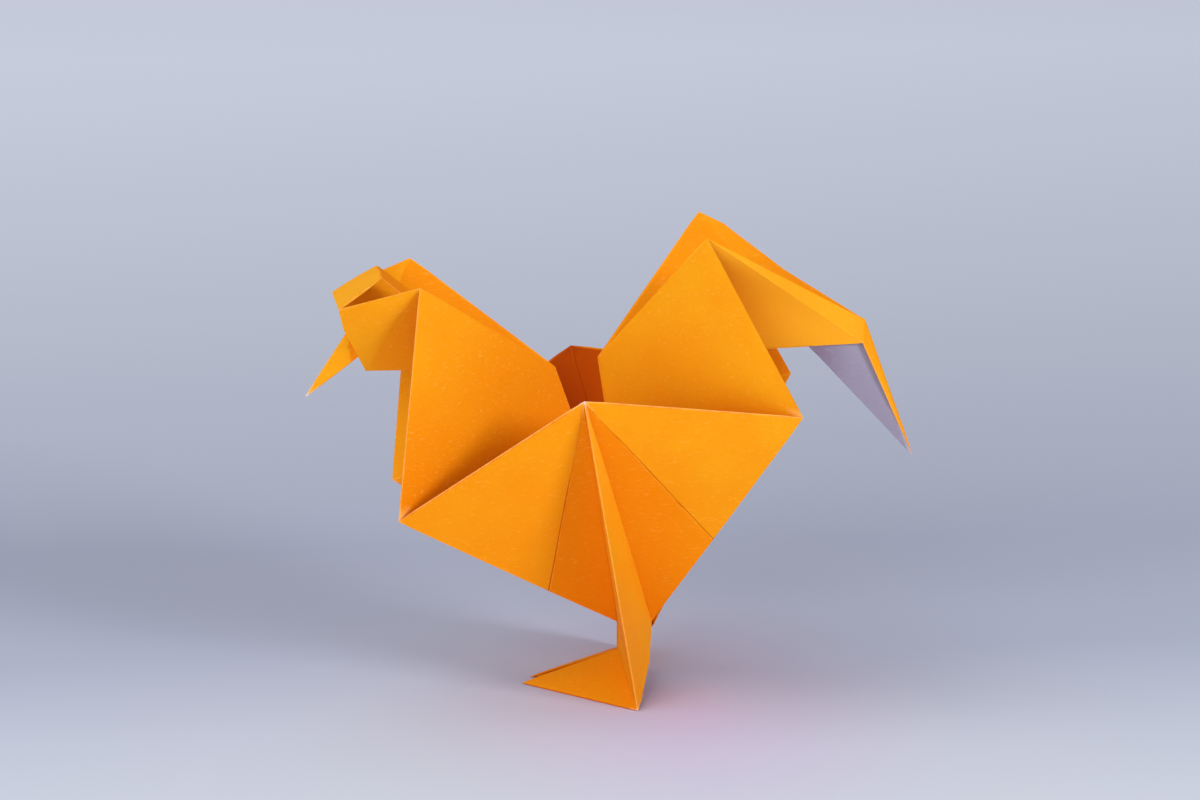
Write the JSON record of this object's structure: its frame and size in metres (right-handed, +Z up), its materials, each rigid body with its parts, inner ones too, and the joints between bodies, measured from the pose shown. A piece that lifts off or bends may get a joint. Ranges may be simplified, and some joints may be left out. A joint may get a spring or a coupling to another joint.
{
  "type": "origami rooster",
  "caption": "Rooster folded from one square of orange paper: open body pocket, hollow neck and tail, pleated legs, small folded comb and beak, and a drooping tail tip that shows the white side.",
  "frame": {"origin": "centre of the bounding box in plan, on the ground under the feet", "axes": "+X from the beak to the tail tip, +Y across to the rooster's far side, +Z up"},
  "size_m": [0.0898, 0.0318, 0.0693],
  "materials": {
    "paper": "matt folded craft paper, orange on one face and white on the other"
  },
  "bodies": {
    "root": {"folded_sheet": "paper"}
  },
  "joints": []
}
